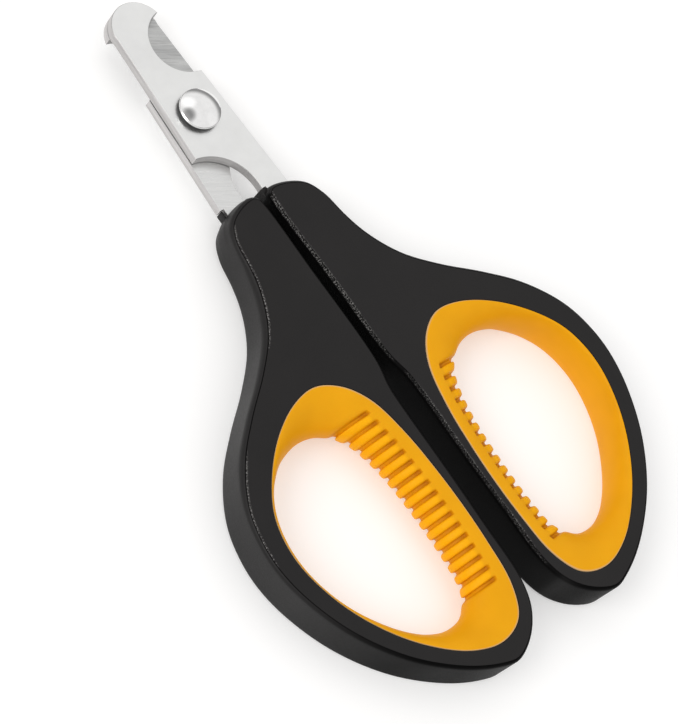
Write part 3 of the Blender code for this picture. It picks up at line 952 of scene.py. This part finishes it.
def add_rivet():
    """Both parts ride on the left half."""
    chrome = rivet_steel()
    # The foot under the head's rim is dark steel painted as shade
    foot = dull_steel_and_shade("rivet_foot_shade", scale=1400, dark=(0.05,) * 3, light=(0.11,) * 3,
                      rough=(0.4, 0.55))
    steels = [chrome, foot]
    piece("rivet_front", rivet_front(), "left_half", "rivet_head", steels)
    piece("rivet_back", rivet_back(), "left_half", "rivet_cap", steels, turned=True)


# ---------------------------------------------------------------- stage, metres

WORLD_STRENGTH = 0.92
# Round patches of the sky: direction, radius and softness in degrees, gain
SKY_PATCHES = (
    ((0.10, 0.63, 0.77), 15, 9, 1.3),
    ((0.60, -0.45, 0.66), 12, 8, 1.05),
    ((-0.34, 0.16, 0.92), 15, 12, 0.3),
    ((-0.70, 0.20, 0.68), 22, 10, 1.4),
)
FLOOR_GAP = 0.00002
KEY_AT, KEY_TARGET = Vector((-0.62, 0.2, 0.58)), Vector((0, -0.01, 0))
KEY_SIZE, KEY_POWER = 0.42, 2.2
CAMERA_FROM_RIVET = Vector((-260.9, -89.4, 380.7)) * MM
CAMERA_RIGHT, CAMERA_BACK = Vector((0.7055, -0.5752, 0.4139)), Vector((-0.5561, -0.0874, 0.8265))


def world():
    """White studio with brighter patches, a dim one overhead and a darker skirting."""
    studio = bpy.data.worlds.new("studio")
    bpy.context.scene.world = studio
    n = Nodes(studio)
    way = n.add("ShaderNodeTexCoord").outputs["Generated"]

    def patch(towards, radius, soft, gain):
        inputs = {0: way, 1: Vector(towards).normalized()}
        dot = n.add("ShaderNodeVectorMath", inputs, operation="DOT_PRODUCT").outputs["Value"]
        span = [math.cos(math.radians(a)) for a in (radius + soft, radius - soft)]
        return n.ramp(dot, span, to=(1.0, gain), kind="SMOOTHSTEP")

    height = n.add("ShaderNodeSeparateXYZ", {0: way}).outputs["Z"]
    value = patch(*SKY_PATCHES[0])
    for row in SKY_PATCHES[1:]:
        value = n.math("MULTIPLY", value, patch(*row))
    skirt = n.ramp(height, span=(0.15, 0.46), to=(0.32, 1.0), kind="SMOOTHSTEP")
    value = n.math("MULTIPLY", value, skirt)
    value = n.math("MULTIPLY", value, WORLD_STRENGTH)
    background = n.tree.nodes["Background"]
    n.feed(background.inputs["Strength"], value)
    n.feed(background.inputs["Color"], (1.0, 0.992, 0.985))


def floor():
    """Faintly glowing white card that can be seen through from below."""
    bm = bmesh.new()
    bmesh.ops.create_grid(bm, x_segments=8, y_segments=8, size=3.0)
    mesh = to_mesh(bm, "floor", sharp=180)
    obj = add_object("floor", mesh)
    obj.location = (0, 0, CAD_BOX[0].z - FLOOR_GAP)
    n = new_material("floor_card")
    n.set(Base_Color=(0.70, 0.698, 0.695), Roughness=0.85,
          Emission_Color=(1.0, 0.998, 0.996), Emission_Strength=0.36)
    mixer = n.add("ShaderNodeMixShader", {
        0: n.add("ShaderNodeNewGeometry").outputs["Backfacing"],
        1: n.tree.nodes["Principled BSDF"].outputs[0],
        2: n.add("ShaderNodeBsdfTransparent").outputs[0],
    })
    n.feed(n.tree.nodes["Material Output"].inputs["Surface"], mixer.outputs[0])
    mesh.materials.append(n.owner)


def key_light():
    lamp = bpy.data.lights.new("key", "AREA")
    lamp.energy, lamp.color = KEY_POWER, (1, 0.99, 0.975)
    lamp.shape, lamp.size, lamp.size_y = "RECTANGLE", KEY_SIZE, KEY_SIZE
    obj = add_object("key", lamp)
    obj.location = KEY_AT
    obj.rotation_mode = "QUATERNION"
    obj.rotation_quaternion = (KEY_TARGET - KEY_AT).to_track_quat("-Z", "Y")


def camera():
    cam = bpy.data.cameras.new("camera")
    cam.sensor_width, cam.lens = 36.0, 135.75
    cam.clip_start, cam.clip_end = 0.01, 10
    z = CAMERA_BACK.normalized()
    x = (CAMERA_RIGHT - z * CAMERA_RIGHT.dot(z)).normalized()
    pose = Matrix((x, z.cross(x), z)).transposed().to_4x4()
    pose.translation = RIVET + CAMERA_FROM_RIVET
    obj = add_object("camera", cam)
    obj.matrix_world = pose
    bpy.context.scene.camera = obj


add_blades()
add_handles()
add_liners()
add_rivet()
world()
floor()
key_light()
camera()
bpy.context.scene.view_settings.view_transform = "Standard"
